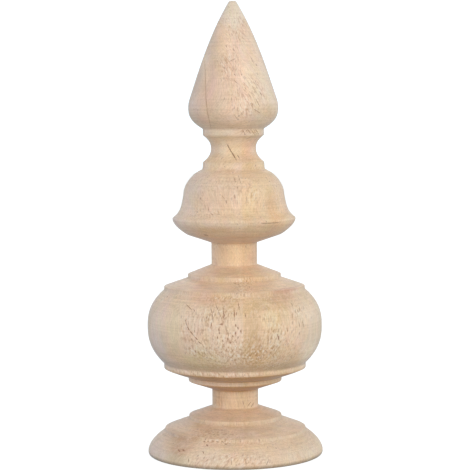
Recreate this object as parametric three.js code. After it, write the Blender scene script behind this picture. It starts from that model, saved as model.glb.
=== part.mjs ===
// Turned wooden post finial: one solid of revolution about Z, standing on its flat underside at z = 0.
// Millimetres, +Z up the axis, origin at the centre of the underside.
import * as THREE from "three";

// ---- overall -------------------------------------------------------------
const HEIGHT = 200; // underside to tip
const SIDES = 60; // facets round the axis

// ---- base: flat foot, ovolo and two stepped fillets with sloping ledges ---
const FOOT_R = 38.65; // radius of the flat underside
const BASE_R = 38.9; // widest radius of the base
const BASE_Z = 1.3; // height of that widest radius
const BASE_POWER = 1.85; // fullness of the base ovolo
const STEP2_R = 31.35; // wide step of the base
const STEP2_Z0 = 10.5;
const STEP2_Z1 = 11.55;
const STEP1_R = 20.6; // narrow step of the base
const STEP1_Z0 = 15.7;
const STEP1_Z1 = 17.3;

// ---- lower neck ------------------------------------------------------------
const NECK_LOW_R = 10.22;
const NECK_LOW_Z0 = 21.1;
const NECK_LOW_Z1 = 28.95;

// ---- bulb with a pair of stepped fillets below and above -------------------
const UNDER1_R = 20.7; // narrow fillet under the bulb
const UNDER1_Z0 = 32.6;
const UNDER1_Z1 = 34.7;
const UNDER2_R = 31.5; // wide fillet under the bulb
const UNDER2_Z0 = 38.55;
const UNDER2_Z1 = 40.8;
const UNDER_BOW = 0.25; // how far the ledge between them bellies out
const BULB_R = 38.67; // greatest radius of the bulb
const BULB_Z = 57.1; // its height
const BULB_POWER_LOW = 2.4; // fullness below the widest line
const BULB_POWER_HIGH = 2.55; // fullness above it
const OVER2_R = 31.2; // wide fillet on top of the bulb
const OVER2_Z0 = 73.3;
const OVER2_Z1 = 74.8;
const OVER1_R = 20.6; // narrow fillet on top of the bulb
const OVER1_Z0 = 78.5;
const OVER1_Z1 = 80.2;

// ---- upper neck ------------------------------------------------------------
const NECK_HIGH_R = 10.08;
const NECK_HIGH_Z0 = 84.35;
const NECK_HIGH_Z1 = 94.05;

// ---- bell ------------------------------------------------------------------
const BELLY_R = 20.9; // where the sloping ledge under the bell meets its ovolo
const BELLY_Z = 97.75;
const BELLY_POWER = 1.72; // fullness of that ovolo
const RIM_R = 27.25; // widest radius of the bell
const RIM_Z = 104.7;
const LIP_R = 27.1; // upper edge of the rim
const LIP_Z = 105.2;
const WAIST_R = 22.33; // where the flare meets the shoulder
const WAIST_Z = 115;
const FLARE_DRIFT = 2; // steady spread of the flare
const FLARE_POWER = 4.6; // how late it turns out to the lip
const SHOULDER_R = 16.9; // top of the rounded shoulder
const SHOULDER_Z = 124.9;
const SHOULDER_POWER = 2.1;
const SILL_R = 13.75; // fillet on top of the bell
const SILL_Z0 = 126.6;
const SILL_Z1 = 129.6;
const SILL_DRAFT = 0.15; // the fillet narrows this much towards its top

// ---- cove and collar -------------------------------------------------------
const COVE_R = 9.92; // narrowest radius of the cove
const COVE_Z = 135.6;
const COVE_POWER_LOW = 2.2;
const COVE_POWER_HIGH = 2.3;
const COLLAR_R = 13.5;
const COLLAR_Z0 = 141.35;
const COLLAR_Z1 = 144.2;

// ---- spike -----------------------------------------------------------------
const SPIKE_R = 19.85; // widest radius of the spike
const SPIKE_Z = 153.5;
const SPIKE_POWER = 2.6; // fullness of the round underneath
const SHOULDER_UP_R = 19.45; // where the round-over runs into the cone
const SHOULDER_UP_Z = 156.6;
const CONE_TAPER_LOW = 0.33; // radius lost per millimetre at the bottom of the cone
const CONE_TAPER_HIGH = 0.6; // and close to the tip
const TIP_R = 1.55; // small flat of the tip

// ---- profile, from the underside to the tip --------------------------------
const outline = [];
const to = (r, z) => outline.push(new THREE.Vector2(r, z));

// Curve between a line of greatest or least radius (ra, za) and an end (rb, zb): the radius departs from ra as a power of the way gone.
// It runs from the end to the line when `inwards` is set.
function swell(ra, za, rb, zb, power, steps, inwards = false) {
  for (let i = 1; i <= steps; i++) {
    const t = inwards ? 1 - i / steps : i / steps;
    to(ra + (rb - ra) * t ** power, za + (zb - za) * t);
  }
}

to(0, 0);
to(FOOT_R, 0);
to(BASE_R, BASE_Z);
swell(BASE_R, BASE_Z, STEP2_R, STEP2_Z0, BASE_POWER, 6);
to(STEP2_R, STEP2_Z1);
to(STEP1_R, STEP1_Z0);
to(STEP1_R, STEP1_Z1);
to(NECK_LOW_R, NECK_LOW_Z0);
to(NECK_LOW_R, NECK_LOW_Z1);
to(UNDER1_R, UNDER1_Z0);
to(UNDER1_R, UNDER1_Z1);
for (let i = 1; i <= 3; i++) {
  const t = i / 3;
  to(
    UNDER1_R + (UNDER2_R - UNDER1_R) * t,
    UNDER1_Z1 + (UNDER2_Z0 - UNDER1_Z1) * t - UNDER_BOW * 4 * t * (1 - t),
  );
}
to(UNDER2_R, UNDER2_Z1);
swell(BULB_R, BULB_Z, UNDER2_R, UNDER2_Z1, BULB_POWER_LOW, 7, true);
swell(BULB_R, BULB_Z, OVER2_R, OVER2_Z0, BULB_POWER_HIGH, 7);
to(OVER2_R, OVER2_Z1);
to(OVER1_R, OVER1_Z0);
to(OVER1_R, OVER1_Z1);
to(NECK_HIGH_R, NECK_HIGH_Z0);
to(NECK_HIGH_R, NECK_HIGH_Z1);
to(BELLY_R, BELLY_Z);
swell(RIM_R, RIM_Z, BELLY_R, BELLY_Z, BELLY_POWER, 5, true);
to(LIP_R, LIP_Z);
for (let i = 1; i <= 6; i++) {
  const u = 1 - (i / 6) ** 1.6;
  to(
    WAIST_R + FLARE_DRIFT * u + (LIP_R - WAIST_R - FLARE_DRIFT) * u ** FLARE_POWER,
    WAIST_Z + (LIP_Z - WAIST_Z) * u,
  );
}
swell(WAIST_R, WAIST_Z, SHOULDER_R, SHOULDER_Z, SHOULDER_POWER, 5);
to(SILL_R, SILL_Z0);
to(SILL_R - SILL_DRAFT, SILL_Z1);
swell(COVE_R, COVE_Z, SILL_R - SILL_DRAFT, SILL_Z1, COVE_POWER_LOW, 5, true);
swell(COVE_R, COVE_Z, COLLAR_R, COLLAR_Z0, COVE_POWER_HIGH, 5);
to(COLLAR_R, COLLAR_Z1);
swell(SPIKE_R, SPIKE_Z, COLLAR_R, COLLAR_Z1, SPIKE_POWER, 5, true);
to(SHOULDER_UP_R, SHOULDER_UP_Z);
for (let i = 1; i <= 6; i++) {
  const u = i / 6;
  const rise = HEIGHT - SHOULDER_UP_Z;
  to(
    SHOULDER_UP_R * (2 * u ** 3 - 3 * u ** 2 + 1) -
      CONE_TAPER_LOW * rise * (u ** 3 - 2 * u ** 2 + u) +
      TIP_R * (3 * u ** 2 - 2 * u ** 3) -
      CONE_TAPER_HIGH * rise * (u ** 3 - u ** 2),
    SHOULDER_UP_Z + rise * u,
  );
}
to(0, HEIGHT);

const body = new THREE.LatheGeometry(outline, SIDES);
body.rotateX(Math.PI / 2); // the lathe turns about Y; the part stands along Z

const finial = new THREE.Mesh(
  body,
  new THREE.MeshStandardMaterial({ color: 0xe3caae, roughness: 0.68, metalness: 0 }),
);
finial.name = "finial";

const part = new THREE.Group();
part.name = "post_finial";
part.add(finial);

export default part;
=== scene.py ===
import math
import bpy
import numpy as np
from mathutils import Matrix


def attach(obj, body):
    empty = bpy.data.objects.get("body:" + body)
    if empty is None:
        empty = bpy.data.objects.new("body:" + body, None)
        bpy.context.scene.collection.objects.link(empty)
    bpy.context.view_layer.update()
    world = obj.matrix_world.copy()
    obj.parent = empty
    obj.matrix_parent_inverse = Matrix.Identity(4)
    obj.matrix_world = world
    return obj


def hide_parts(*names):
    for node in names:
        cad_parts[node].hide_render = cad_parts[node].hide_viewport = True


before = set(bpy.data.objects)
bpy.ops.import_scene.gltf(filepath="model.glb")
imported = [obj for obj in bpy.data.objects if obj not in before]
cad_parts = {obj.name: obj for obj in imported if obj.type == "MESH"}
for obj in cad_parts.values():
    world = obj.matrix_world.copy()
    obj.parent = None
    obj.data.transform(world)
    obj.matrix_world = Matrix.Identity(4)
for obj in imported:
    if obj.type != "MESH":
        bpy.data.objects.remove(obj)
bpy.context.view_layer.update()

scene = bpy.context.scene
MM = 0.001

# ------------------------------------------------------------------ sizes, millimetres
HEIGHT = 200.0
FOOT_R, BASE_R, BASE_Z, BASE_POWER = 38.65, 38.9, 1.3, 1.85
STEP2_R, STEP2_Z0, STEP2_Z1 = 31.35, 10.5, 11.55
STEP1_R, STEP1_Z0, STEP1_Z1 = 20.6, 15.7, 17.3
NECK_LOW_R, NECK_LOW_Z0, NECK_LOW_Z1 = 10.22, 21.1, 28.95
UNDER1_R, UNDER1_Z0, UNDER1_Z1 = 20.7, 32.6, 34.7
UNDER2_R, UNDER2_Z0, UNDER2_Z1, UNDER_BOW = 31.5, 38.55, 40.8, 0.25
BULB_R, BULB_Z, BULB_POWER_LOW, BULB_POWER_HIGH = 38.67, 57.1, 2.4, 2.55
OVER2_R, OVER2_Z0, OVER2_Z1 = 31.2, 73.3, 74.8
OVER1_R, OVER1_Z0, OVER1_Z1 = 20.6, 78.5, 80.2
NECK_HIGH_R, NECK_HIGH_Z0, NECK_HIGH_Z1 = 10.08, 84.35, 94.05
BELLY_R, BELLY_Z, BELLY_POWER = 20.9, 97.75, 1.72
RIM_R, RIM_Z, LIP_R, LIP_Z = 27.25, 104.7, 27.1, 105.2
WAIST_R, WAIST_Z, FLARE_DRIFT, FLARE_POWER = 22.33, 115.0, 2.0, 4.6
SHOULDER_R, SHOULDER_Z, SHOULDER_POWER = 16.9, 124.9, 2.1
SILL_R, SILL_Z0, SILL_Z1, SILL_DRAFT = 13.75, 126.6, 129.6, 0.15
COVE_R, COVE_Z, COVE_POWER_LOW, COVE_POWER_HIGH = 9.92, 135.6, 2.2, 2.3
COLLAR_R, COLLAR_Z0, COLLAR_Z1 = 13.5, 141.35, 144.2
SPIKE_R, SPIKE_Z, SPIKE_POWER = 19.85, 153.5, 2.6
CONE_R, CONE_Z, TAPER_LOW, TAPER_HIGH, TIP_R = 19.45, 156.6, 0.33, 0.60, 1.55

SEGMENTS = 400      # round the axis
RINGS = 236         # along the outline
ROUNDING = 0.20     # softening of the turned arrises


def outline():
    """The turned outline from the middle of the underside to the tip, as (radius, height) in millimetres, closely spaced."""
    pts = []

    def to(r, z):
        pts.append((r, z))

    def swell(ra, za, rb, zb, power, inwards=False, steps=60):
        for i in range(1, steps + 1):
            t = i / steps
            if inwards:
                t = 1 - t
            to(ra + (rb - ra) * t ** power, za + (zb - za) * t)

    to(0, 0)
    to(FOOT_R - 0.45, 0)
    for i in range(1, 13):                       # small round at the very bottom
        a = math.pi / 2 * i / 12
        to(FOOT_R - 0.45 + (BASE_R - FOOT_R + 0.45) * math.sin(a), BASE_Z * (1 - math.cos(a)))
    swell(BASE_R, BASE_Z, STEP2_R, STEP2_Z0, BASE_POWER)
    to(STEP2_R, STEP2_Z1)
    to(STEP1_R, STEP1_Z0)
    to(STEP1_R, STEP1_Z1)
    to(NECK_LOW_R, NECK_LOW_Z0)
    to(NECK_LOW_R, NECK_LOW_Z1)
    to(UNDER1_R, UNDER1_Z0)
    to(UNDER1_R, UNDER1_Z1)
    for i in range(1, 31):
        t = i / 30
        to(UNDER1_R + (UNDER2_R - UNDER1_R) * t,
           UNDER1_Z1 + (UNDER2_Z0 - UNDER1_Z1) * t - UNDER_BOW * 4 * t * (1 - t))
    to(UNDER2_R, UNDER2_Z1)
    swell(BULB_R, BULB_Z, UNDER2_R, UNDER2_Z1, BULB_POWER_LOW, True)
    swell(BULB_R, BULB_Z, OVER2_R, OVER2_Z0, BULB_POWER_HIGH)
    to(OVER2_R, OVER2_Z1)
    to(OVER1_R, OVER1_Z0)
    to(OVER1_R, OVER1_Z1)
    to(NECK_HIGH_R, NECK_HIGH_Z0)
    to(NECK_HIGH_R, NECK_HIGH_Z1)
    to(BELLY_R, BELLY_Z)
    swell(RIM_R, RIM_Z, BELLY_R, BELLY_Z, BELLY_POWER, True)
    to(LIP_R, LIP_Z)
    for i in range(1, 61):
        u = 1 - (i / 60) ** 1.3
        to(WAIST_R + FLARE_DRIFT * u + (LIP_R - WAIST_R - FLARE_DRIFT) * u ** FLARE_POWER,
           WAIST_Z + (LIP_Z - WAIST_Z) * u)
    swell(WAIST_R, WAIST_Z, SHOULDER_R, SHOULDER_Z, SHOULDER_POWER)
    to(SILL_R, SILL_Z0)
    to(SILL_R - SILL_DRAFT, SILL_Z1)
    swell(COVE_R, COVE_Z, SILL_R - SILL_DRAFT, SILL_Z1, COVE_POWER_LOW, True)
    swell(COVE_R, COVE_Z, COLLAR_R, COLLAR_Z0, COVE_POWER_HIGH)
    to(COLLAR_R, COLLAR_Z1)
    swell(SPIKE_R, SPIKE_Z, COLLAR_R, COLLAR_Z1, SPIKE_POWER, True)
    for i in range(1, 21):
        t = i / 20
        to(SPIKE_R + (CONE_R - SPIKE_R) * t * t, SPIKE_Z + (CONE_Z - SPIKE_Z) * t)
    rise = HEIGHT - CONE_Z
    for i in range(1, 61):
        u = i / 60
        to(CONE_R * (2 * u ** 3 - 3 * u ** 2 + 1) - TAPER_LOW * rise * (u ** 3 - 2 * u ** 2 + u)
           + TIP_R * (3 * u ** 2 - 2 * u ** 3) - TAPER_HIGH * rise * (u ** 3 - u ** 2),
           CONE_Z + rise * u)
    to(0, HEIGHT)
    return np.array(pts, float)


def soften(p, step=0.05):
    """Walk the outline at an even step and round its corners, keeping both ends on the axis."""
    d = np.hypot(*np.diff(p, axis=0).T)
    s = np.concatenate([[0], np.cumsum(d)])
    n = int(s[-1] / step)
    q = np.linspace(0, s[-1], n + 1)
    r, z = np.interp(q, s, p[:, 0]), np.interp(q, s, p[:, 1])
    half = int(4 * ROUNDING / step)
    k = np.exp(-0.5 * (np.arange(-half, half + 1) * step / ROUNDING) ** 2)
    k /= k.sum()

    def blur(a, odd):
        lo, hi = a[half:0:-1], a[-2:-half - 2:-1]
        if odd:
            lo, hi = 2 * a[0] - lo, 2 * a[-1] - hi
        return np.convolve(np.concatenate([lo, a, hi]), k, "valid")

    r, z = blur(r, True), blur(z, False)
    z -= z[0]
    z *= HEIGHT / z[-1]
    r[0] = r[-1] = 0
    return r, z, q


def rings():
    """Rows of the mesh: closer together where the outline bends."""
    r, z, q = soften(outline())
    a = np.unwrap(np.arctan2(np.gradient(z), np.gradient(r)))
    bend = np.abs(np.gradient(a, q))
    bend = np.convolve(bend, np.ones(9) / 9, "same")
    weight = 0.575 + np.minimum(bend, 2.5) * 1.4
    c = np.concatenate([[0], np.cumsum((weight[1:] + weight[:-1]) / 2)])
    t = np.interp(np.linspace(0, c[-1], RINGS), c, q)
    return np.interp(t, q, r), np.interp(t, q, z), t


def body_mesh():
    r, z, t = rings()
    n = SEGMENTS
    phi = np.arange(n) * 2 * math.pi / n
    rr, zz = r[1:-1], z[1:-1]
    m = len(rr)
    x = rr[:, None] * np.cos(phi)[None]
    y = rr[:, None] * np.sin(phi)[None]
    co = np.stack([x, y, np.repeat(zz[:, None], n, 1)], -1).reshape(-1, 3)
    co = np.concatenate([[[0, 0, 0]], co, [[0, 0, HEIGHT]]]) * MM
    faces = []
    for j in range(n):
        faces.append((0, 1 + (j + 1) % n, 1 + j))
    for i in range(m - 1):
        a, b = 1 + i * n, 1 + (i + 1) * n
        for j in range(n):
            k = (j + 1) % n
            faces.append((a + j, a + k, b + k, b + j))
    top = len(co) - 1
    a = 1 + (m - 1) * n
    for j in range(n):
        faces.append((a + j, a + (j + 1) % n, top))
    me = bpy.data.meshes.new("finial_wood")
    me.from_pydata(co.tolist(), [], faces)
    me.update()
    me.polygons.foreach_set("use_smooth", np.ones(len(me.polygons), bool))
    return me


finial = bpy.data.objects.new("finial_wood", body_mesh())
scene.collection.objects.link(finial)

# ------------------------------------------------------------------ tones over the surface
# Soft patches on the front: tone, middle x, middle z, half width, half height (millimetres), strength.
# Some of these tones are painted light and shade: the even brightening and the bluish tones are painted highlights and
# painted sheen, the grey darkening is partly painted shade, and the pale tone is in places painted light.
PATCHES = [
    ("brown", 7.0, 62.0, 3.2, 9.0, 0.60), ("brown", 8.2, 49.5, 4.2, 7.3, 0.65), ("brown", 15.7, 70.0, 9.5, 2.7, 0.75),
    ("brown", -6.1, 71.2, 9.8, 2.0, 0.45), ("brown", -6.0, 44.0, 10.4, 2.4, 0.35), ("brown", 1.8, 16.4, 5.7, 4.8, 0.30),
    ("brown", 9.1, 152.0, 3.3, 2.6, 0.40), ("brown", 3.0, 8.5, 6.0, 2.2, 0.18), ("grey", -17.5, 158.0, 4.5, 18.0, 0.55),
    ("grey", -9.0, 182.0, 2.5, 14.0, 0.35),
    ("warm", 13.0, 112.3, 5.7, 5.3, 0.55), ("warm", 18.9, 105.2, 6.5, 2.7, 0.60), ("warm", 7.5, 115.8, 4.5, 7.8, 0.40),
    ("red", -24.3, 10.9, 4.8, 1.6, 0.75), ("red", -22.5, 8.6, 4.4, 2.3, 0.50), ("red", -24.8, 6.3, 3.8, 2.0, 0.55), ("red", -13.2, 13.9, 5.1, 1.5, 0.35),
    ("light", 1.2, 187.3, 1.8, 4.6, 0.45), ("light", 4.2, 179.0, 1.7, 5.0, 0.55), ("light", 7.4, 168.2, 2.0, 6.2, 0.55),
    ("light", 14.9, 63.9, 2.8, 3.1, 0.85), ("light", -16.1, 51.8, 5.0, 2.7, 0.45), ("light", 18.9, 55.6, 3.4, 3.7, 0.40),
    ("light", -4.9, 136.0, 2.0, 3.5, 0.50), ("light", -4.3, 46.4, 6.6, 2.4, 0.35), ("light", -10.1, 5.0, 8.0, 3.4, 0.45),
    ("light", -18.1, 64.2, 5.6, 4.7, 0.25), ("light", 10.0, 160.0, 7.0, 16.0, 0.30), ("light", -4.0, 142.8, 7.0, 1.6, 0.60),
    ("light", 22.0, 8.0, 14.0, 8.0, 0.20), ("light", 28.0, 62.0, 6.0, 12.0, 0.20),
    ("pink", -8.5, 65.8, 7.9, 5.8, 0.40), ("pink", -8.5, 115.5, 9.3, 6.5, 0.40), ("pink", -5.6, 160.9, 6.3, 12.7, 0.35),
    ("brown", 9.0, 142.9, 3.6, 1.4, 0.40), ("warm", 16.3, 114.5, 4.0, 5.0, 0.70), ("brown", 16.5, 112.0, 3.0, 4.0, 0.35),
    ("brown", -26.2, 5.0, 4.0, 3.5, 0.45), ("brown", -7.5, 25.0, 2.5, 4.0, 0.70), ("light", 32.5, 47.0, 5.0, 8.0, 0.55),
    # spike
    ("rose", 0.0, 168.0, 9.0, 22.0, 0.30), ("painted_light", 4.0, 162.0, 8.0, 14.0, 0.40), ("painted_light", 5.5, 165.5, 3.5, 6.0, 0.50), ("painted_cool_sheen", 0.0, 195.0, 5.0, 7.0, 1.00),
    ("painted_light", 0.0, 196.0, 5.0, 7.0, 0.80), ("darker_wood_and_shade", -15.0, 158.0, 4.5, 14.0, 0.35), ("darker_wood_and_shade", -9.5, 156.0, 3.5, 10.0, 0.30), ("straw", 16.0, 152.0, 3.4, 3.2, 0.35), ("brown", 16.8, 152.6, 2.6, 2.8, 0.35),
    ("cool_tint_and_painted_highlight", 0.0, 195.5, 4.5, 7.0, 1.00), ("painted_light", 0.0, 196.0, 4.5, 7.0, 0.50), ("darker_wood_and_shade", -9.0, 180.0, 2.0, 12.0, 0.50),
    ("painted_light", -2.2, 183.0, 2.4, 6.0, 0.50), ("painted_light", 0.0, 176.0, 4.0, 6.0, 0.35), ("painted_light", 4.2, 169.5, 2.4, 5.0, 0.50), ("painted_cool_sheen", 4.2, 169.5, 2.6, 5.0, 0.35), ("painted_cool_sheen", 0.0, 178.0, 3.0, 7.0, 0.30), ("painted_light", -1.5, 180.0, 2.0, 5.0, 0.35), ("rose", -12.3, 156.5, 4.0, 9.0, 0.50), ("darker_wood_and_shade", -8.8, 157.0, 4.0, 9.0, 0.25), ("brown", 15.2, 152.2, 3.2, 2.8, 0.55), ("sage", 15.5, 158.5, 2.2, 2.6, 0.30),
    # collar, cove and bell
    ("darker_wood_and_shade", -9.8, 142.8, 2.6, 1.4, 0.40), ("straw", 9.8, 142.8, 2.2, 1.4, 0.70), ("straw", -7.0, 128.0, 6.0, 1.8, 0.50), ("straw", 9.0, 128.0, 5.0, 1.8, 0.70), ("brown", 10.0, 128.0, 4.0, 1.6, 0.22),
    ("straw", 18.5, 108.5, 3.5, 4.0, 0.50), ("painted_light", 18.5, 108.5, 3.5, 4.0, 0.30), ("darker_wood_and_shade", -16.8, 114.5, 3.6, 6.5, 0.65), ("straw", -15.5, 114.5, 3.0, 6.0, 0.30), ("brown", 16.8, 114.0, 3.0, 5.5, 0.42), ("darker_wood_and_shade", 4.5, 142.8, 2.0, 1.4, 0.30), ("painted_light", 0.0, 136.5, 6.0, 4.0, 0.45), ("straw", 1.5, 135.0, 4.0, 3.5, 0.35),
    ("darker_wood_and_shade", 8.0, 135.5, 2.5, 4.0, 0.35), ("rose", 7.4, 135.5, 4.0, 4.5, 0.75), ("darker_wood_and_shade", -7.8, 135.5, 2.5, 4.2, 0.75), ("painted_cool_sheen", -15.5, 122.0, 5.0, 5.0, 0.60),
    ("rose", -6.0, 113.0, 8.0, 6.0, 0.35), ("straw", 2.0, 112.0, 8.0, 7.0, 0.35), ("straw", 17.5, 112.0, 4.5, 8.0, 0.25), ("rose", 19.0, 111.0, 4.5, 7.0, 0.80),
    ("darker_wood_and_shade", 17.5, 113.5, 4.0, 7.0, 0.45), ("painted_cool_sheen", -24.5, 104.5, 4.0, 3.0, 0.70), ("painted_cool_sheen", -21.0, 100.5, 5.0, 3.0, 0.80), ("light", -6.0, 103.2, 16.0, 0.7, 0.45), ("brown", -13.0, 100.2, 7.0, 0.9, 0.35),
    ("straw", -8.0, 101.3, 8.0, 1.0, 0.50), ("brown", 17.0, 102.2, 7.0, 0.8, 0.35), ("light", 9.0, 101.0, 8.0, 0.8, 0.30), ("painted_light", 22.5, 101.2, 5.0, 3.0, 0.95), ("rose", 22.5, 101.2, 5.0, 3.0, 0.30), ("painted_light", -23.5, 101.2, 4.5, 3.0, 0.95),
    ("darker_wood_and_shade", 8.5, 90.0, 2.0, 5.0, 0.35), ("rose", 8.5, 90.0, 2.5, 5.0, 0.40), ("painted_light", 1.6, 89.5, 1.8, 5.0, 0.60), ("brown", -4.6, 91.0, 2.2, 3.5, 0.22), ("painted_light", 0.0, 90.5, 8.0, 5.0, 0.28), ("straw", 1.6, 90.0, 3.0, 5.0, 0.30), ("red", 5.5, 88.0, 1.4, 4.0, 0.12), ("darker_wood_and_shade", -6.5, 90.0, 2.5, 5.0, 0.35),
    ("red", 8.6, 87.5, 1.8, 3.5, 0.35), ("brown", 13.0, 100.5, 9.0, 1.3, 0.25), ("red", -10.0, 101.5, 7.0, 1.4, 0.20), ("brown", 4.0, 97.6, 8.0, 0.6, 0.35),
    # bulb
    ("red", 13.0, 78.0, 4.0, 2.0, 0.14), ("rose", -14.0, 77.0, 5.0, 2.2, 0.60), ("red", 21.5, 74.7, 5.5, 0.8, 0.80), ("rose", 21.5, 74.6, 6.0, 1.0, 1.00), ("painted_light", -6.0, 77.5, 4.0, 2.0, 0.60), ("brown", 0.0, 82.5, 9.0, 1.2, 0.35), ("brown", -1.0, 78.0, 6.0, 3.5, 0.08),
    ("straw", -6.0, 73.5, 5.0, 1.4, 0.60), ("brown", 9.5, 72.8, 5.0, 1.3, 0.35), ("darker_wood_and_shade", -24.0, 75.5, 3.0, 1.5, 0.40), ("darker_wood_and_shade", 25.0, 75.5, 3.0, 1.5, 0.40),
    ("painted_light", 34.0, 48.0, 5.0, 7.0, 0.50), ("painted_cool_sheen", -33.5, 46.5, 4.0, 7.0, 0.60), ("painted_cool_sheen", 36.0, 57.0, 4.0, 9.0, 0.30), ("brown", 8.0, 57.5, 3.6, 7.0, 0.38), ("painted_light", 33.0, 46.0, 4.0, 5.5, 0.50),
    ("straw", 0.0, 79.0, 9.0, 3.0, 0.35), ("rose", 8.0, 78.0, 4.0, 3.0, 0.50), ("straw", 15.0, 64.2, 4.0, 4.0, 0.60), ("straw", 10.0, 47.0, 5.0, 4.0, 0.40),
    ("painted_light", -15.5, 55.0, 4.0, 3.0, 0.35), ("painted_light", 28.0, 43.0, 5.0, 2.0, 0.60), ("painted_light", -27.5, 43.0, 4.0, 2.0, 0.40), ("painted_cool_sheen", -28.0, 43.0, 4.0, 2.5, 0.50), ("straw", 1.0, 69.5, 8.0, 4.0, 0.45), ("rose", -11.0, 72.5, 7.0, 2.5, 0.70), ("red", 20.5, 72.6, 6.0, 1.8, 0.70),
    ("sage", -25.5, 60.0, 2.2, 11.0, 0.55), ("sage", -13.0, 46.0, 9.0, 4.0, 0.65), ("rose", 25.0, 57.0, 5.0, 7.0, 0.45), ("painted_cool_sheen", 33.0, 46.0, 4.5, 8.0, 0.35),
    ("painted_light", 31.5, 45.0, 5.0, 6.0, 1.00), ("painted_cool_sheen", -33.5, 50.0, 4.0, 9.0, 0.60), ("straw", 15.5, 62.5, 4.0, 4.0, 0.30),
    # base
    ("painted_cool_sheen", 1.0, 13.3, 8.0, 1.6, 0.70), ("painted_light", 2.0, 13.2, 7.0, 1.5, 0.50), ("painted_light", 7.0, 18.4, 4.5, 1.6, 0.60), ("painted_cool_sheen", 7.5, 18.4, 4.5, 1.6, 0.50), ("brown", 14.5, 18.5, 4.0, 2.0, 0.10), ("red", -18.3, 11.4, 3.4, 1.7, 0.55), ("darker_wood_and_shade", -29.5, 10.5, 4.0, 2.2, 0.45), ("darker_wood_and_shade", -16.0, 16.6, 2.5, 1.4, 0.35), ("darker_wood_and_shade", 19.5, 15.6, 2.6, 2.0, 0.45),
    ("darker_wood_and_shade", 30.0, 6.5, 6.0, 5.5, 0.75), ("darker_wood_and_shade", -28.5, 3.5, 6.0, 2.5, 0.35), ("painted_light", 15.0, 12.0, 5.0, 1.3, 0.40), ("painted_cool_sheen", 7.0, 6.5, 5.0, 3.0, 0.60), ("darker_wood_and_shade", 7.0, 7.0, 4.0, 2.5, 0.25), ("painted_cool_sheen", 11.0, 3.0, 6.0, 2.0, 0.50),
    ("painted_light", 11.0, 3.0, 6.0, 2.0, 0.35), ("cool_tint_and_painted_highlight", -25.0, 2.8, 6.0, 2.0, 0.80), ("darker_wood_and_shade", 25.5, 12.6, 4.0, 1.8, 0.45), ("rose", 25.5, 12.6, 4.0, 1.8, 0.35),
    ("rose", 5.0, 10.0, 7.0, 1.2, 0.40), ("painted_cool_sheen", 19.0, 4.5, 8.0, 4.5, 0.45), ("brown", -17.0, 15.5, 4.0, 2.5, 0.30), ("painted_light", 4.0, 8.6, 7.0, 1.2, 0.55),
    ("painted_cool_sheen", 13.0, 13.5, 9.0, 4.5, 0.60), ("darker_wood_and_shade", -26.0, 6.0, 4.5, 5.0, 0.30), ("darker_wood_and_shade", -24.0, 9.8, 5.0, 2.5, 0.30), ("painted_cool_sheen", -35.0, 5.0, 4.0, 6.0, 0.60),
    ("painted_cool_sheen", 34.0, 6.0, 5.0, 6.0, 0.20), ("darker_wood_and_shade", 0.0, 8.5, 9.0, 2.0, 0.15), ("straw", 0.0, 9.0, 10.0, 2.0, 0.10),
    # where hardly any pores show
    ("bare", -9.0, 165.0, 8.5, 26.0, 0.9), ("bare", 0.0, 135.5, 9.0, 4.0, 1.0), ("bare", 0.0, 89.0, 9.0, 4.5, 0.7), ("bare", 0.0, 25.0, 9.0, 3.5, 0.5),
    ("bare", -30.0, 57.0, 8.0, 14.0, 0.8), ("bare", 30.0, 55.0, 7.0, 8.0, 0.5), ("bare", 14.0, 114.0, 6.0, 8.0, 0.6), ("bare", -18.0, 116.0, 4.0, 8.0, 0.6),
    # how thickly the pores show
    ("pore", 6.0, 158.0, 8.0, 9.0, 0.80), ("pore", -1.0, 172.0, 5.0, 9.0, 0.80), ("pore", 7.5, 143.0, 5.0, 1.6, 0.90),
    ("pore", -11.0, 109.0, 7.0, 4.0, 0.45), ("pore", 6.5, 116.0, 5.0, 4.5, 0.62), ("pore", -2.0, 122.0, 6.0, 4.0, 0.30),
    ("pore", 4.0, 77.0, 4.5, 4.5, 0.85), ("pore", -3.0, 72.0, 9.0, 1.5, 0.80),
    ("pore", -13.0, 60.0, 10.0, 10.0, 0.55), ("pore", -1.0, 55.0, 7.0, 6.0, 1.00), ("pore", -14.0, 50.0, 8.0, 4.0, 0.80),
    ("pore", 11.0, 51.0, 9.0, 7.0, 1.00), ("pore", 17.0, 57.0, 6.0, 6.0, 0.90), ("pore", 27.0, 63.0, 4.0, 6.0, 0.60),
    ("pore", -3.0, 47.0, 16.0, 4.0, 0.85), ("pore", 14.0, 46.0, 9.0, 4.0, 0.85), ("pore", -18.0, 60.0, 6.0, 9.0, 0.60), ("pore", 22.0, 52.0, 6.0, 7.0, 0.65),
    ("pore", -8.0, 66.0, 8.0, 6.0, 0.75), ("pore", 14.0, 66.0, 9.0, 5.0, 0.42), ("pore", 1.0, 186.0, 4.5, 9.0, 0.95), ("pore", -8.0, 39.6, 20.0, 1.2, 0.95),
    ("pore", -8.0, 12.0, 12.0, 2.5, 0.80), ("pore", -3.0, 4.0, 20.0, 3.0, 0.70), ("pore", 5.0, 24.0, 4.0, 3.0, 0.40),
]


# Tones that only scale the wood's own colour, as factors on red, green and blue. The even brightening is painted light,
# the bluish tones are painted cool sheen and painted cool highlight, and the even grey darkening is partly painted
# shade and partly darker wood.
TINTS = {"rose": (1.02, 0.92, 0.94), "straw": (1.0, 0.98, 0.82), "sage": (0.93, 1.0, 0.86), "painted_cool_sheen": (0.95, 1.0, 1.13),
         "painted_light": (1.11, 1.11, 1.11), "darker_wood_and_shade": (0.88, 0.88, 0.88), "cool_tint_and_painted_highlight": (0.93, 1.01, 1.0)}


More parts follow.
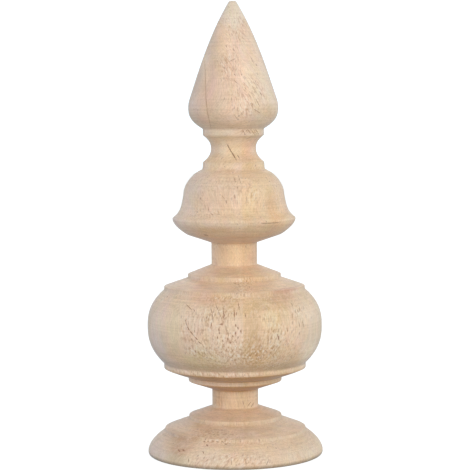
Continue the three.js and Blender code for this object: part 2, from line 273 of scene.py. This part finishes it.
def tones(me):
    """Paint the patches, the slope and the place along the outline on the vertices."""
    n = len(me.vertices)
    co = np.empty(n * 3)
    me.vertices.foreach_get("co", co)
    co = co.reshape(-1, 3) / MM
    no = np.empty(n * 3)
    me.vertices.foreach_get("normal", no)
    no = no.reshape(-1, 3)
    x, y, z = co.T
    under = np.clip(-no[:, 2], 0, 1)
    front = np.clip(0.5 - y / np.maximum(np.hypot(x, y), 0.5) * 1.2, 0, 1)
    out = {k: np.zeros(n) for k in ("brown", "warm", "red", "light", "pink", "pore", "grey", "bare")}
    tint = np.ones((n, 3))
    for tone, px, pz, hx, hz, s in PATCHES:
        d = np.sqrt(((x - px) / hx) ** 2 + ((z - pz) / hz) ** 2)
        w = np.clip((1.45 - d) / 0.9, 0, 1)
        w = w * w * (3 - 2 * w) * s * front
        if tone in TINTS:
            tint *= 1 + w[:, None] * (np.array(TINTS[tone]) - 1)
        else:
            out[tone] = np.maximum(out[tone], w) if tone == "pore" else out[tone] + w * (1 - out[tone])
    # the back has fewer and plainer patches of the same kinds, at random places
    rng = np.random.default_rng(11)
    around = np.arctan2(y, x)
    for tone in ("brown", "light", "pink", "straw", "rose", "darker_wood_and_shade", "pore", "pore", "pore") * 5:
        pa, pz, hx, hz, s = math.radians(rng.uniform(5, 175)), rng.uniform(2, 195), rng.uniform(4, 9), rng.uniform(4, 13), rng.uniform(0.25, 0.6)
        d = np.sqrt(((around - pa) * np.hypot(x, y) / hx) ** 2 + ((z - pz) / hz) ** 2)
        w = np.clip((1.45 - d) / 0.9, 0, 1)
        w = w * w * (3 - 2 * w) * s * (1 - front)
        if tone in TINTS:
            tint *= 1 + 0.5 * w[:, None] * (np.array(TINTS[tone]) - 1)
        else:
            out[tone] = np.maximum(out[tone], w)
    out["bare"] = np.maximum(out["bare"], 0.35 * front)

    # the two plain necks and the cove are a warmer colour all round, and the spike is the palest part
    def between(a, b, soft=0.8):
        return np.clip((z - a) / soft + 0.5, 0, 1) * np.clip((b - z) / soft + 0.5, 0, 1)
    out["warm"] = np.maximum(out["warm"], 0.75 * between(NECK_HIGH_Z0, NECK_HIGH_Z1) + 0.65 * between(NECK_LOW_Z0, NECK_LOW_Z1)
                             + 0.45 * between(SILL_Z1, COLLAR_Z0))
    # painted shade: a darker band just over the ring below the bulb and a darker line round the foot; painted light:
    # paler rings under the bulb; and painted shade dulling the lit edges of the steps
    tint *= (1 - 0.15 * between(UNDER2_Z1, UNDER2_Z1 + 3.2, 1.2) + 0.06 * between(UNDER1_Z0, UNDER1_Z1) + 0.05 * between(UNDER2_Z0, UNDER2_Z1)
             - 0.50 * np.clip((1.7 - z) / 1.1, 0, 1))[:, None]
    steps = (between(STEP2_Z0, STEP2_Z1, 0.4) + 1.1 * between(STEP1_Z0, STEP1_Z1, 0.4) + 1.0 * between(OVER1_Z0, OVER1_Z1, 0.4) + 0.8 * between(OVER2_Z0, OVER2_Z1, 0.4))
    tint *= 1 - steps[:, None] * np.array([0.08, 0.09, 0.13])
    # painted shade: faces that look down are mixed towards dark brown, most below the bulb
    painted_underside_shade = under * (z > 1) * np.select([z < 39.5, z < 60, z < 110], [1.0, 0.25, 0.15], 0.0)
    r, zz, t = rings()
    along = np.interp(z, zz + np.arange(len(zz)) * 1e-7, t)
    lean = 0.45 * (z - 150) * np.clip((z - 140) / 8, 0, 1) * np.clip((x + 1) / 5, 0, 1) + 0.12 * (z - 57) * np.sin(z * 0.07 + x * 0.05)
    sets = {"tone_a": (out["brown"], out["warm"], out["red"]), "tone_b": (out["light"], out["pink"], out["pore"]),
            "form": (along, np.abs(no[:, 2]), lean), "shade": (painted_underside_shade, out["grey"], out["bare"]), "tint": tint.T}
    for name, parts in sets.items():
        a = me.attributes.new(name, "FLOAT_VECTOR", "POINT")
        a.data.foreach_set("vector", np.stack(parts, -1).astype(np.float32).ravel())


tones(finial.data)

# ------------------------------------------------------------------ wood
# Single marks on the front, as strokes x0, z0, x1, z1, half width in millimetres.
SEAM = [
    (-12.2, 172.8, -11.8, 161.0, 0.17), (-11.9, 164.6, -11.6, 154.2, 0.20), (-11.65, 158.2, -11.0, 150.0, 0.20), (-11.2, 152.5, -9.8, 145.2, 0.17),
]
CRACKS = [
    (-2.6, 137.3, -0.6, 133.6, 0.24), (-1.0, 134.4, 1.0, 131.2, 0.28), (1.7, 132.9, 2.6, 131.5, 0.12), (11.8, 104.0, 16.7, 103.9, 0.11),
    (14.7, 103.9, 19.6, 103.9, 0.15),
]
MARKS = [
    (-10.1, 68.9, -9.6, 66.7, 0.20), (-9.6, 66.7, -9.1, 63.5, 0.24), (-9.9, 63.0, -9.9, 61.4, 0.22), (-7.8, 70.1, -6.7, 67.5, 0.14),
    (-6.7, 67.5, -5.9, 65.4, 0.14), (-4.9, 69.0, -4.4, 64.1, 0.24), (-6.1, 62.3, -5.3, 62.4, 0.38), (1.6, 70.9, 2.0, 68.2, 0.20),
    (-0.2, 68.5, -0.1, 64.7, 0.22), (4.4, 66.9, 4.8, 64.9, 0.18), (-21.0, 63.3, -20.3, 61.2, 0.22), (-20.1, 60.8, -19.3, 59.4, 0.24), (-18.6, 58.6, -17.2, 57.0, 0.20),
    (-16.7, 56.4, -16.0, 55.7, 0.30), (-15.3, 54.6, -14.3, 53.9, 0.22), (-20.7, 69.8, -18.3, 67.8, 0.18), (-17.2, 67.9, -17.1, 67.4, 0.26),
    (-6.7, 60.4, -6.6, 59.8, 0.30), (-6.5, 59.0, -6.5, 58.5, 0.34), (-7.3, 56.8, -7.2, 56.4, 0.26), (-3.7, 61.7, -3.6, 59.6, 0.20),
    (-2.8, 59.0, -2.7, 57.7, 0.22), (-1.0, 57.7, -0.8, 57.3, 0.28), (0.3, 59.0, 0.3, 58.4, 0.28), (1.3, 61.0, 1.5, 60.5, 0.34),
    (0.4, 62.1, 0.5, 61.6, 0.34), (2.5, 59.7, 2.6, 59.0, 0.26), (-3.0, 56.8, -2.9, 55.6, 0.20), (-5.1, 55.5, -5.0, 55.0, 0.24),
    (-2.0, 54.9, -1.9, 54.4, 0.24), (18.0, 57.6, 18.8, 55.0, 0.22), (27.9, 67.8, 27.9, 66.0, 0.12), (29.6, 67.9, 29.6, 66.5, 0.12),
    (26.0, 66.8, 26.2, 65.7, 0.17), (24.6, 65.7, 24.6, 63.9, 0.12), (27.5, 61.8, 27.9, 59.6, 0.13), (29.2, 61.6, 29.5, 59.4, 0.13),
    (24.3, 69.7, 24.9, 68.5, 0.16), (22.3, 59.5, 22.5, 58.4, 0.20), (0.1, 123.7, 0.7, 121.7, 0.16), (2.0, 124.2, 2.9, 121.4, 0.16),
    (0.3, 115.9, 0.5, 115.0, 0.42), (-11.0, 110.7, -10.7, 109.0, 0.24), (-9.9, 108.2, -9.1, 107.7, 0.22), (-15.8, 109.0, -15.6, 108.4, 0.20),
    (-14.4, 114.7, -14.4, 114.2, 0.22), (-5.1, 115.9, -4.2, 114.7, 0.14), (-7.5, 108.1, -6.2, 108.0, 0.16), (1.6, 119.5, 1.6, 118.9, 0.20),
    (-12.8, 98.8, -11.6, 98.5, 0.40), (-2.8, 180.2, -2.7, 179.7, 0.26), (0.2, 178.7, 0.6, 178.0, 0.24), (-1.0, 173.6, 0.9, 174.5, 0.16),
    (-0.4, 169.7, -0.2, 169.1, 0.24), (0.7, 167.8, 1.1, 167.3, 0.24), (0.6, 165.1, 1.8, 163.9, 0.20), (7.7, 175.3, 9.0, 172.5, 0.16),
    (10.1, 172.1, 10.3, 171.6, 0.26), (3.6, 167.9, 3.8, 167.3, 0.22), (4.6, 161.4, 5.8, 159.9, 0.16), (6.4, 159.6, 7.6, 157.8, 0.18),
    (8.3, 162.7, 9.8, 160.2, 0.16), (9.8, 157.1, 11.3, 154.1, 0.16), (7.3, 155.3, 8.5, 153.5, 0.18), (9.4, 152.5, 11.3, 151.3, 0.22),
    (11.4, 160.2, 12.2, 158.9, 0.18), (-0.7, 158.4, -0.4, 154.1, 0.14), (0.5, 150.4, 1.7, 148.6, 0.16), (3.9, 143.8, 5.1, 142.0, 0.20),
    (6.4, 143.8, 7.3, 142.4, 0.22), (8.0, 143.4, 9.1, 141.9, 0.22), (9.7, 143.8, 10.5, 142.8, 0.22), (5.2, 143.9, 5.7, 143.4, 0.18), (4.6, 142.2, 5.0, 141.8, 0.18), (8.9, 143.9, 9.3, 143.4, 0.18), (10.6, 142.3, 11.0, 141.9, 0.18),
    (5.7, 22.4, 6.9, 23.9, 0.18),
    (7.0, 21.5, 8.1, 23.2, 0.20), (-1.9, 4.3, -1.8, 2.5, 0.16), (4.3, 4.4, 4.4, 2.4, 0.20), (14.0, 3.7, 13.2, 2.0, 0.16),
    (-20.2, 4.0, -20.0, 2.5, 0.18), (-13.9, 7.0, -13.7, 6.5, 0.26), (-12.4, 9.4, -12.0, 9.2, 0.24), (-4.5, 10.0, -3.9, 9.9, 0.24),
    (-13.8, 10.5, -13.2, 10.4, 0.22), (-11.9, 10.6, -11.5, 10.5, 0.22), (-10.0, 11.0, -9.6, 10.8, 0.20), (-8.1, 10.8, -7.5, 10.7, 0.22),
    (-6.0, 10.9, -5.5, 10.8, 0.22), (-24.6, 6.4, -24.1, 6.2, 0.30), (-22.6, 6.7, -22.1, 6.6, 0.26),
]


def lin(c):
    return tuple((v / 255 / 12.92 if v / 255 <= 0.04045 else ((v / 255 + 0.055) / 1.055) ** 2.4) for v in c) + (1.0,)


class Tree:
    """Short names for the nodes of a material."""

    def __init__(self, tree):
        self.tree = tree

    def put(self, socket, value):
        if isinstance(value, bpy.types.NodeSocket):
            self.tree.links.new(value, socket)
        else:
            socket.default_value = value

    def new(self, kind, **props):
        n = self.tree.nodes.new("ShaderNode" + kind)
        for k, v in props.items():
            setattr(n, k, v)
        return n

    def math(self, op, a, b=0.0, c=0.0, clamp=False):
        n = self.new("Math", operation=op, use_clamp=clamp)
        for s, v in zip(n.inputs, (a, b, c)):
            self.put(s, v)
        return n.outputs[0]

    def vec(self, op, a, b=(0, 0, 0), c=(0, 0, 0), scale=1.0):
        n = self.new("VectorMath", operation=op)
        for s, v in zip(n.inputs, (a, b, c, scale)):
            self.put(s, v)
        return n.outputs["Value" if op in ("DOT_PRODUCT", "LENGTH", "DISTANCE") else "Vector"]

    def split(self, v):
        n = self.new("SeparateXYZ")
        self.put(n.inputs[0], v)
        return n.outputs

    def join(self, x, y, z):
        n = self.new("CombineXYZ")
        for s, v in zip(n.inputs, (x, y, z)):
            self.put(s, v)
        return n.outputs[0]

    def noise(self, p, scale, detail=2.0, rough=0.5, dims="3D"):
        n = self.new("TexNoise", noise_dimensions=dims)
        self.put(n.inputs["W" if dims == "1D" else "Vector"], p)
        n.inputs["Scale"].default_value = scale
        n.inputs["Detail"].default_value = detail
        n.inputs["Roughness"].default_value = rough
        return n.outputs["Fac"]

    def cells(self, p, scale=1.0):
        n = self.new("TexVoronoi")
        self.put(n.inputs["Vector"], p)
        n.inputs["Scale"].default_value = scale
        return n.outputs["Distance"], n.outputs["Color"]

    def ramp(self, v, lo, hi, a=0.0, b=1.0):
        n = self.new("MapRange", interpolation_type="SMOOTHSTEP")
        for s, w in zip(n.inputs, (v, lo, hi, a, b)):
            self.put(s, w)
        return n.outputs[0]

    def span(self, v, lo, hi, a=0.0, b=1.0):
        n = self.new("MapRange")
        for s, w in zip(n.inputs, (v, lo, hi, a, b)):
            self.put(s, w)
        return n.outputs[0]

    def mix(self, f, a, b, blend="MIX"):
        n = self.new("Mix", data_type="RGBA", blend_type=blend)
        self.put(n.inputs[0], f)
        self.put(n.inputs[6], a)
        self.put(n.inputs[7], b)
        return n.outputs[2]

    def attr(self, name):
        return self.split(self.new("Attribute", attribute_name=name).outputs["Vector"])


def strokes(t, p, marks):
    """How far p lies from the nearest stroke, squared, where 1 is the edge of its long thin ellipse."""
    near = None
    for x0, z0, x1, z1, w in marks:
        bx, bz = x1 - x0, z1 - z0
        q, w = math.hypot(bx, bz), 0.90 * w
        bx, bz, half = bx / q, bz / q, q / 2 + w
        d = t.vec("SUBTRACT", p, ((x0 + x1) / 2, 0, (z0 + z1) / 2))
        a = t.vec("DOT_PRODUCT", d, (bx / half, 0, bz / half))
        b = t.vec("DOT_PRODUCT", d, (-bz / w, 1, bx / w))
        e = t.math("MULTIPLY_ADD", a, a, t.math("MULTIPLY", b, b))
        near = e if near is None else t.math("MINIMUM", near, e)
    return near


def wood():
    mat = bpy.data.materials.new("bare_wood")
    mat.use_nodes = True
    tree = mat.node_tree
    bsdf = tree.nodes["Principled BSDF"]
    t = Tree(tree)
    P = t.vec("SCALE", t.new("TexCoord").outputs["Object"], scale=1000.0)     # millimetres
    X, Y, Z = t.split(P)

    # single strokes first
    flat = t.join(X, t.math("MULTIPLY", t.math("MAXIMUM", Y, 0.0), 1e4), Z)
    ragged = t.span(t.noise(P, 1.9, 2), 0.2, 0.8, -1.1, 1.1)
    seam = t.ramp(t.math("ADD", strokes(t, flat, SEAM), ragged), 2.2, 0.2)
    crack = t.ramp(t.math("ADD", strokes(t, flat, CRACKS), ragged), 1.8, 0.4)
    mark = t.ramp(t.math("ADD", strokes(t, flat, MARKS), ragged), 1.8, 0.4)

    brown, warm, red = t.attr("tone_a")
    light, pink, dense = t.attr("tone_b")
    along, level, lean = t.attr("form")
    painted_underside_shade, grey, bare = t.attr("shade")

    # two glued boards below the collar: the right one has its own heart
    right = t.math("MULTIPLY", t.ramp(X, 3.45, 3.75), t.ramp(Z, 141.4, 141.2))
    heart = t.mix(right, (4.0, 60.0, 0.0, 1), (-24.0, 55.0, 0.0, 1))
    sway = t.noise(t.vec("MULTIPLY", P, (0.045, 0.045, 0.016)), 1.0, 2)
    ring = t.vec("LENGTH", t.vec("MULTIPLY", t.vec("SUBTRACT", P, heart), (1, 1, 0)))
    ring = t.math("ADD", ring, t.math("MULTIPLY_ADD", sway, 7.0, t.math("MULTIPLY", Z, 0.02)))
    broad = t.ramp(t.noise(ring, 0.34, 1, dims="1D"), 0.36, 0.64)
    fine = t.noise(ring, 1.5, 3, 0.6, dims="1D")

    # fibre: long thin streaks up the piece
    skew = t.join(t.math("ADD", X, lean), t.math("MULTIPLY_ADD", t.math("MAXIMUM", Z, 30.0), -0.22, Y), Z)
    fibre = t.noise(t.vec("MULTIPLY", skew, (2.6, 2.6, 0.16)), 1.0, 3, 0.65)
    hair = t.noise(t.vec("MULTIPLY", skew, (6.0, 6.0, 0.7)), 1.0, 2, 0.6)
    cloud = t.noise(P, 0.085, 3, 0.55)
    speck = t.noise(P, 2.2, 2, 0.6)

    # pores: tubes that show as dashes on upright faces and as dots on the ledges, each in a thin sleeve of paler wood
    thick = t.math("MULTIPLY", t.span(cloud, 0.35, 0.75, 0.16, 0.62), t.math("SUBTRACT", 1.0, bare))
    thick = t.math("MAXIMUM", dense, thick)
    thick = t.math("MULTIPLY", thick, t.span(broad, 0, 1, 0.6, 1.05))

    def tubes(shift, pitch, length, r0, r1, share, edge, sleeve):
        d, colour = t.cells(t.vec("MULTIPLY", t.vec("ADD", skew, shift), (1 / pitch, 1 / pitch, 1 / length)))
        u, v, w = t.split(colour)
        there = t.math("MULTIPLY", t.ramp(t.math("SUBTRACT", t.math("MULTIPLY", thick, share), u), -0.08, 0.04), t.ramp(thick, 0.02, 0.12))
        d = t.math("SUBTRACT", d, t.span(v, 0, 1, r0, r1))
        core = t.math("MULTIPLY", t.ramp(d, edge, -edge), t.math("MULTIPLY", there, t.span(w, 0, 1, 0.5, 1.0)))
        return core, t.math("MULTIPLY", t.ramp(d, sleeve, 0.0), there)

    pore_a, pale_a = tubes((0, 0, 0), 1.15, 3.0, 0.14, 0.30, 0.58, 0.10, 0.28)
    pore_b, pale_b = tubes((31.0, 7.0, 3.0), 1.7, 7.0, 0.09, 0.18, 0.50, 0.06, 0.16)
    pore = t.math("MAXIMUM", pore_a, pore_b)
    pale = t.math("MAXIMUM", pale_a, pale_b)
    # between them a close net of small dark dashes and pale flecks
    net = t.noise(t.vec("MULTIPLY", skew, (1.25, 1.25, 0.48)), 1.0, 1.5, 0.6)
    dash = t.math("MULTIPLY", t.ramp(net, 0.48, 0.34), thick)
    fleck = t.math("MULTIPLY", t.ramp(net, 0.54, 0.68), thick)

    # faint rings left by the turning, and streaks where the end grain shows on the ledges and undersides
    turned = t.noise(along, 1.1, 2, 0.6, dims="1D")
    streak = t.math("MULTIPLY", t.span(t.noise(t.vec("MULTIPLY", P, (0.16, 0.16, 1.5)), 1.0, 3, 0.6), 0.25, 0.75, -0.12, 0.12), level)

    # colour
    c = t.mix(t.math("MULTIPLY", right, 0.55), lin((239, 206, 176)), lin((237, 199, 155)))
    c = t.mix(t.math("MULTIPLY", pink, 0.8), c, lin((231, 201, 178)))
    c = t.mix(t.math("MULTIPLY", warm, 0.75), c, lin((242, 206, 162)))
    uneven = t.span(t.noise(P, 0.30, 3, 0.6), 0.3, 0.7, 0.35, 1.15)
    c = t.mix(t.math("MULTIPLY", brown, uneven, clamp=True), c, lin((211, 172, 128)))
    c = t.mix(t.math("MULTIPLY", red, uneven, clamp=True), c, lin((203, 155, 124)))
    # pale patches, partly paler wood and partly painted light
    c = t.mix(t.math("MULTIPLY", light, uneven, clamp=True), c, lin((241, 222, 197)))
    c = t.mix(t.span(broad, 0, 1, 0.0, 0.13), c, lin((214, 180, 145)))
    c = t.mix(t.math("MULTIPLY", level, 0.30), c, lin((214, 178, 142)))
    c = t.mix(t.math("MULTIPLY", grey, 0.8), c, lin((214, 184, 160)))
    # painted shade on the faces that look down
    c = t.mix(painted_underside_shade, c, lin((196, 140, 74)))
    # the tint attribute carries the wood's tints together with painted light, painted cool sheen and painted shade
    c = t.mix(1.0, c, t.new("Attribute", attribute_name="tint").outputs["Color"], "MULTIPLY")
    straw = t.span(t.noise(t.vec("MULTIPLY", skew, (0.26, 0.26, 0.07)), 1.0, 3, 0.6), 0.3, 0.7, -1.0, 1.0)
    rose = t.span(t.noise(t.vec("MULTIPLY", t.vec("ADD", skew, (70.0, 30.0, 50.0)), (0.22, 0.22, 0.07)), 1.0, 3, 0.6), 0.3, 0.7, -1.0, 1.0)
    c = t.mix(1.0, c, t.join(t.math("MULTIPLY_ADD", rose, 0.022, 1.0), t.math("MULTIPLY_ADD", rose, -0.020, 1.0),
                             t.math("MULTIPLY_ADD", straw, -0.065, 1.0)), "MULTIPLY")
    tone = t.math("ADD", t.span(fibre, 0.25, 0.75, -0.13, 0.13), t.span(hair, 0.2, 0.8, -0.09, 0.09))
    tone = t.math("ADD", tone, t.span(fine, 0.25, 0.75, -0.03, 0.03))
    tone = t.math("ADD", tone, t.span(cloud, 0.3, 0.7, -0.05, 0.05))
    tone = t.math("ADD", tone, t.span(speck, 0.25, 0.75, -0.07, 0.07))
    tone = t.math("ADD", tone, streak)
    tone = t.math("ADD", tone, t.span(turned, 0.3, 0.7, -0.035, 0.035))
    c = t.mix(1.0, c, t.join(t.math("ADD", tone, 1.0), t.math("MULTIPLY_ADD", tone, 1.15, 1.0), t.math("MULTIPLY_ADD", tone, 1.35, 1.0)), "MULTIPLY")
    c = t.mix(t.math("MULTIPLY", fleck, 0.60), c, lin((250, 237, 221)))
    c = t.mix(t.math("MULTIPLY", pale, 0.25), c, lin((250, 232, 214)))
    c = t.mix(t.math("MULTIPLY", dash, 0.52), c, lin((158, 94, 42)))
    c = t.mix(t.math("MULTIPLY", pore, 0.58), c, lin((150, 80, 26)))
    c = t.mix(t.math("MULTIPLY", seam, 0.48), c, lin((166, 116, 78)))
    mark = t.math("MULTIPLY", mark, t.span(Z, 72.0, 100.0, 1.0, 0.72))
    c = t.mix(t.math("MULTIPLY", mark, t.span(speck, 0.3, 0.7, 0.36, 0.90)), c, lin((136, 68, 26)))
    c = t.mix(t.math("MULTIPLY", crack, 0.72), c, lin((116, 60, 26)))
    t.put(bsdf.inputs["Base Color"], c)

    # gloss and relief
    r = t.math("ADD", t.span(fibre, 0.2, 0.8, 0.42, 0.56), t.math("MULTIPLY", pore, 0.12))
    t.put(bsdf.inputs["Roughness"], r)
    bsdf.inputs["Specular IOR Level"].default_value = 0.5
    bsdf.inputs["Sheen Weight"].default_value = 0.28
    bsdf.inputs["Sheen Tint"].default_value = (0.60, 0.82, 1.0, 1.0)
    bsdf.inputs["Sheen Roughness"].default_value = 0.25
    h = t.math("ADD", t.math("MULTIPLY", pore, -0.014), t.math("MULTIPLY", crack, -0.12))
    h = t.math("ADD", h, t.math("MULTIPLY", seam, -0.06))
    h = t.math("ADD", h, t.span(fibre, 0, 1, -0.02, 0.02))
    h = t.math("ADD", h, t.span(hair, 0, 1, -0.012, 0.012))
    h = t.math("ADD", h, t.span(turned, 0, 1, -0.02, 0.02))
    b = t.new("Bump")
    b.inputs["Strength"].default_value = 0.8
    b.inputs["Distance"].default_value = MM
    t.put(b.inputs["Height"], h)
    t.put(bsdf.inputs["Normal"], b.outputs["Normal"])
    return mat


finial.data.materials.append(wood())
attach(finial, "root")
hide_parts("finial")

# ------------------------------------------------------------------ stage
floor_me = bpy.data.meshes.new("floor")
N = 64
floor_me.from_pydata([(3 * math.cos(2 * math.pi * i / N), 3 * math.sin(2 * math.pi * i / N), -0.0001) for i in range(N)], [], [list(range(N))])
floor = bpy.data.objects.new("floor", floor_me)
scene.collection.objects.link(floor)
fm = bpy.data.materials.new("floor_white")
fm.use_nodes = True
fb = fm.node_tree.nodes["Principled BSDF"]
fb.inputs["Base Color"].default_value = (0.35, 0.35, 0.35, 1)
fb.inputs["Roughness"].default_value = 1.0
fb.inputs["Specular IOR Level"].default_value = 0.0
ft = Tree(fm.node_tree)
seen = ft.new("LightPath").outputs["Is Camera Ray"]
ft.put(fb.inputs["Emission Color"], ft.mix(seen, (0.72, 0.89, 1.0, 1), (1, 1, 1, 1)))
ft.put(fb.inputs["Emission Strength"], ft.span(seen, 0, 1, 0.24, 0.88))
floor_me.materials.append(fm)

# ------------------------------------------------------------------ light
world = bpy.data.worlds.new("studio")
scene.world = world
world.use_nodes = True
wt = Tree(world.node_tree)
bg = world.node_tree.nodes["Background"]
bg.inputs["Color"].default_value = (0.84, 0.935, 1.0, 1)
# what lights the wood, and the white seen behind it
path = wt.new("LightPath").outputs
wt.put(bg.inputs["Strength"], wt.math("MULTIPLY_ADD", path["Is Glossy Ray"], 0.25, wt.span(path["Is Camera Ray"], 0, 1, 0.485, 1.35)))


def softbox(name, azimuth, elevation, distance, size, power, colour=(1, 1, 1)):
    """A square soft light that faces the middle of the finial. Azimuth 0 is straight in front, positive to the right."""
    d = bpy.data.lights.new(name, "AREA")
    d.shape, d.size, d.energy, d.color = "SQUARE", size, power, colour
    o = bpy.data.objects.new(name, d)
    a, e = math.radians(azimuth), math.radians(elevation)
    target = (0, 0, 0.10)
    o.location = (distance * math.cos(e) * math.sin(a), -distance * math.cos(e) * math.cos(a), target[2] + distance * math.sin(e))
    o.rotation_euler = (math.pi / 2 - e, 0, a)
    scene.collection.objects.link(o)
    return o


WARM = (1.0, 0.955, 0.885)
softbox("front", 0, 12, 1.6, 0.9, 7.3, WARM)
softbox("front_right", 25, 26, 1.6, 0.9, 3.8, WARM)
softbox("right", 60, 26, 1.6, 0.9, 1.6)
softbox("front_left", -40, 26, 1.6, 0.9, 1.7)
softbox("side_right", 112, 12, 1.6, 0.9, 8.0, (0.70, 0.87, 1.0))
softbox("side_left", -112, 12, 1.6, 0.9, 5.5, (0.50, 0.67, 1.0))
softbox("top", 0, 80, 1.6, 0.9, 0.7)
softbox("back", 180, 32, 1.6, 0.9, 4.0, WARM)

# ------------------------------------------------------------------ camera
PX = HEIGHT / 452.0                # millimetres in a pixel at the axis
DIST = 1730 * PX * MM
ELEV = math.radians(4.45)
ROLL = math.radians(0.40)
SIDE = 0.9 * PX * MM               # the axis stands a little left of the middle of the picture
TARGET_Z = 219.7 * PX * MM
cam = bpy.data.cameras.new("camera")
cam.sensor_width = 36
cam.lens = 36 * 1730 / 470
cam.clip_start, cam.clip_end = 0.01, 20
co = bpy.data.objects.new("camera", cam)
co.location = (SIDE, -DIST * math.cos(ELEV), TARGET_Z + DIST * math.sin(ELEV))
co.rotation_mode = "XYZ"
from mathutils import Euler, Matrix
co.matrix_world = (Matrix.Translation(co.location) @ Euler((math.pi / 2 - ELEV, 0, 0)).to_matrix().to_4x4()
                   @ Matrix.Rotation(-ROLL, 4, "Z"))
scene.collection.objects.link(co)
scene.camera = co

scene.view_settings.view_transform = "Standard"
scene.view_settings.look = "None"
